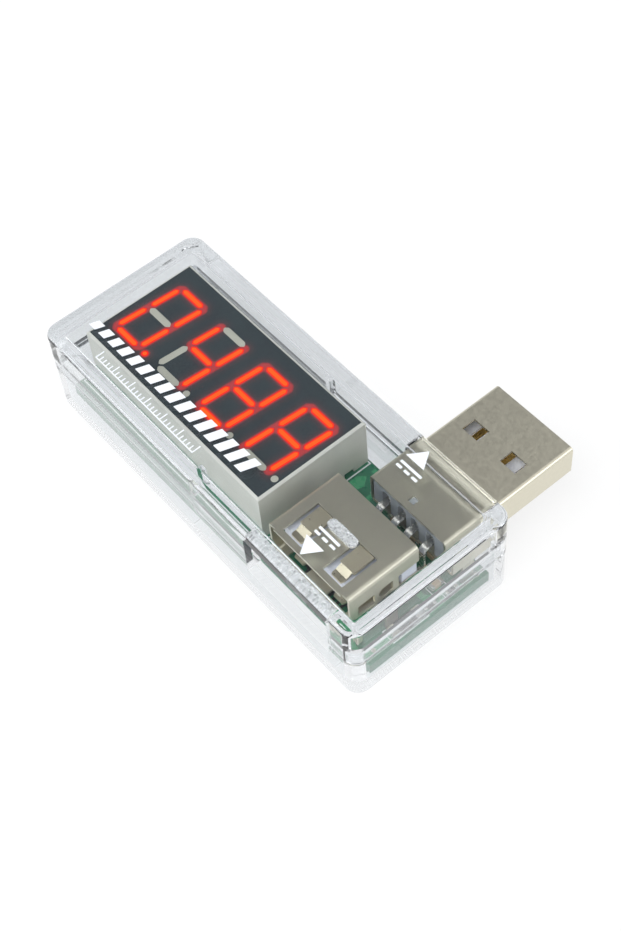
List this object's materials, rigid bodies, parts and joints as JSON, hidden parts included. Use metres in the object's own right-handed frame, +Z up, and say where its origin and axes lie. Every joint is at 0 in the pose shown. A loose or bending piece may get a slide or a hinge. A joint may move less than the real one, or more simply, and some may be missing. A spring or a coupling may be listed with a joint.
{
  "type": "usb power meter",
  "caption": "In-line USB voltage and current meter: a USB plug and a USB socket side by side in a clear two-part case with an LED display.",
  "frame": {"origin": "under the middle of the whole object, plug included, on the plane it rests on", "axes": "+X along the case from the display end to the connector end, +Y out of the USB plug, +Z up out of the display face"},
  "size_m": [0.055, 0.0342, 0.0129],
  "materials": {
    "clear_shell": "clear, polished",
    "white_ink": "screen-printed ink",
    "green_board": "solder mask",
    "display_plastic": "moulded, satin",
    "dark_face": "matt film",
    "lit_segment": "glowing",
    "unlit_segment": "milky epoxy",
    "lamp_board": "white solder mask",
    "led_die": "bare die",
    "tinned_pin": "tinned",
    "nickel_steel": "nickel plated, fine grain",
    "white_insulator": "moulded, satin",
    "gold_contact": "gold flash",
    "grey_block": "moulded",
    "chip_black": "moulded epoxy",
    "ceramic_tan": "fired ceramic",
    "solder": "bright solder"
  },
  "bodies": {
    "case": {"bottom_cover": "clear_shell", "circuit_board": "green_board", "display_housing": "display_plastic", "display_face": "dark_face", "segments_lit": "lit_segment", "segments_unlit": "unlit_segment", "display_board": "lamp_board", "led_chips": "led_die", "display_pins": "tinned_pin", "plug_shell": "nickel_steel", "plug_insulator": "white_insulator", "plug_contacts": "gold_contact", "plug_base": "grey_block", "socket_shell": "nickel_steel", "socket_insulator": "white_insulator", "socket_pins": "gold_contact", "microcontroller": "chip_black", "voltage_regulator": "chip_black", "sense_amplifier": "chip_black", "shunt_resistor": "chip_black", "chip_resistors": "chip_black", "chip_capacitors": "ceramic_tan", "solder_joints": "solder"},
    "cover": {"top_cover": "clear_shell", "legend_print": "white_ink"},
    "retention_top_left": {"retention_spring_top_left": "nickel_steel"},
    "retention_top_right": {"retention_spring_top_right": "nickel_steel"},
    "retention_bottom_left": {"retention_spring_bottom_left": "nickel_steel"},
    "retention_bottom_right": {"retention_spring_bottom_right": "nickel_steel"},
    "contact_1": {"contact_spring_1": "gold_contact"},
    "contact_2": {"contact_spring_2": "gold_contact"},
    "contact_3": {"contact_spring_3": "gold_contact"},
    "contact_4": {"contact_spring_4": "gold_contact"}
  },
  "joints": [
    {"name": "cover_lift", "type": "slide", "parent": "case", "child": "cover", "axis": [0, 0, 1], "range_m": [0, 0.012]},
    {"name": "retention_top_left_flex", "type": "hinge", "parent": "case", "child": "retention_top_left", "pos_m": [0.01335, -0.00849, 0.01091], "axis": [-1, 0, 0], "range_deg": [0, 4.5], "stiffness_Nm_per_rad": 0.12},
    {"name": "retention_top_right_flex", "type": "hinge", "parent": "case", "child": "retention_top_right", "pos_m": [0.01985, -0.00849, 0.01091], "axis": [-1, 0, 0], "range_deg": [0, 4.5], "stiffness_Nm_per_rad": 0.12},
    {"name": "retention_bottom_left_flex", "type": "hinge", "parent": "case", "child": "retention_bottom_left", "pos_m": [0.01335, -0.00849, 0.00549], "axis": [1, 0, 0], "range_deg": [0, 4.5], "stiffness_Nm_per_rad": 0.12},
    {"name": "retention_bottom_right_flex", "type": "hinge", "parent": "case", "child": "retention_bottom_right", "pos_m": [0.01985, -0.00849, 0.00549], "axis": [1, 0, 0], "range_deg": [0, 4.5], "stiffness_Nm_per_rad": 0.12},
    {"name": "contact_1_flex", "type": "hinge", "parent": "case", "child": "contact_1", "pos_m": [0.0131, -0.00635, 0.0086], "axis": [-1, 0, 0], "range_deg": [0, 3.5], "stiffness_Nm_per_rad": 0.05},
    {"name": "contact_2_flex", "type": "hinge", "parent": "case", "child": "contact_2", "pos_m": [0.0156, -0.00635, 0.0086], "axis": [-1, 0, 0], "range_deg": [0, 3.5], "stiffness_Nm_per_rad": 0.05},
    {"name": "contact_3_flex", "type": "hinge", "parent": "case", "child": "contact_3", "pos_m": [0.0176, -0.00635, 0.0086], "axis": [-1, 0, 0], "range_deg": [0, 3.5], "stiffness_Nm_per_rad": 0.05},
    {"name": "contact_4_flex", "type": "hinge", "parent": "case", "child": "contact_4", "pos_m": [0.0201, -0.00635, 0.0086], "axis": [-1, 0, 0], "range_deg": [0, 3.5], "stiffness_Nm_per_rad": 0.05}
  ]
}
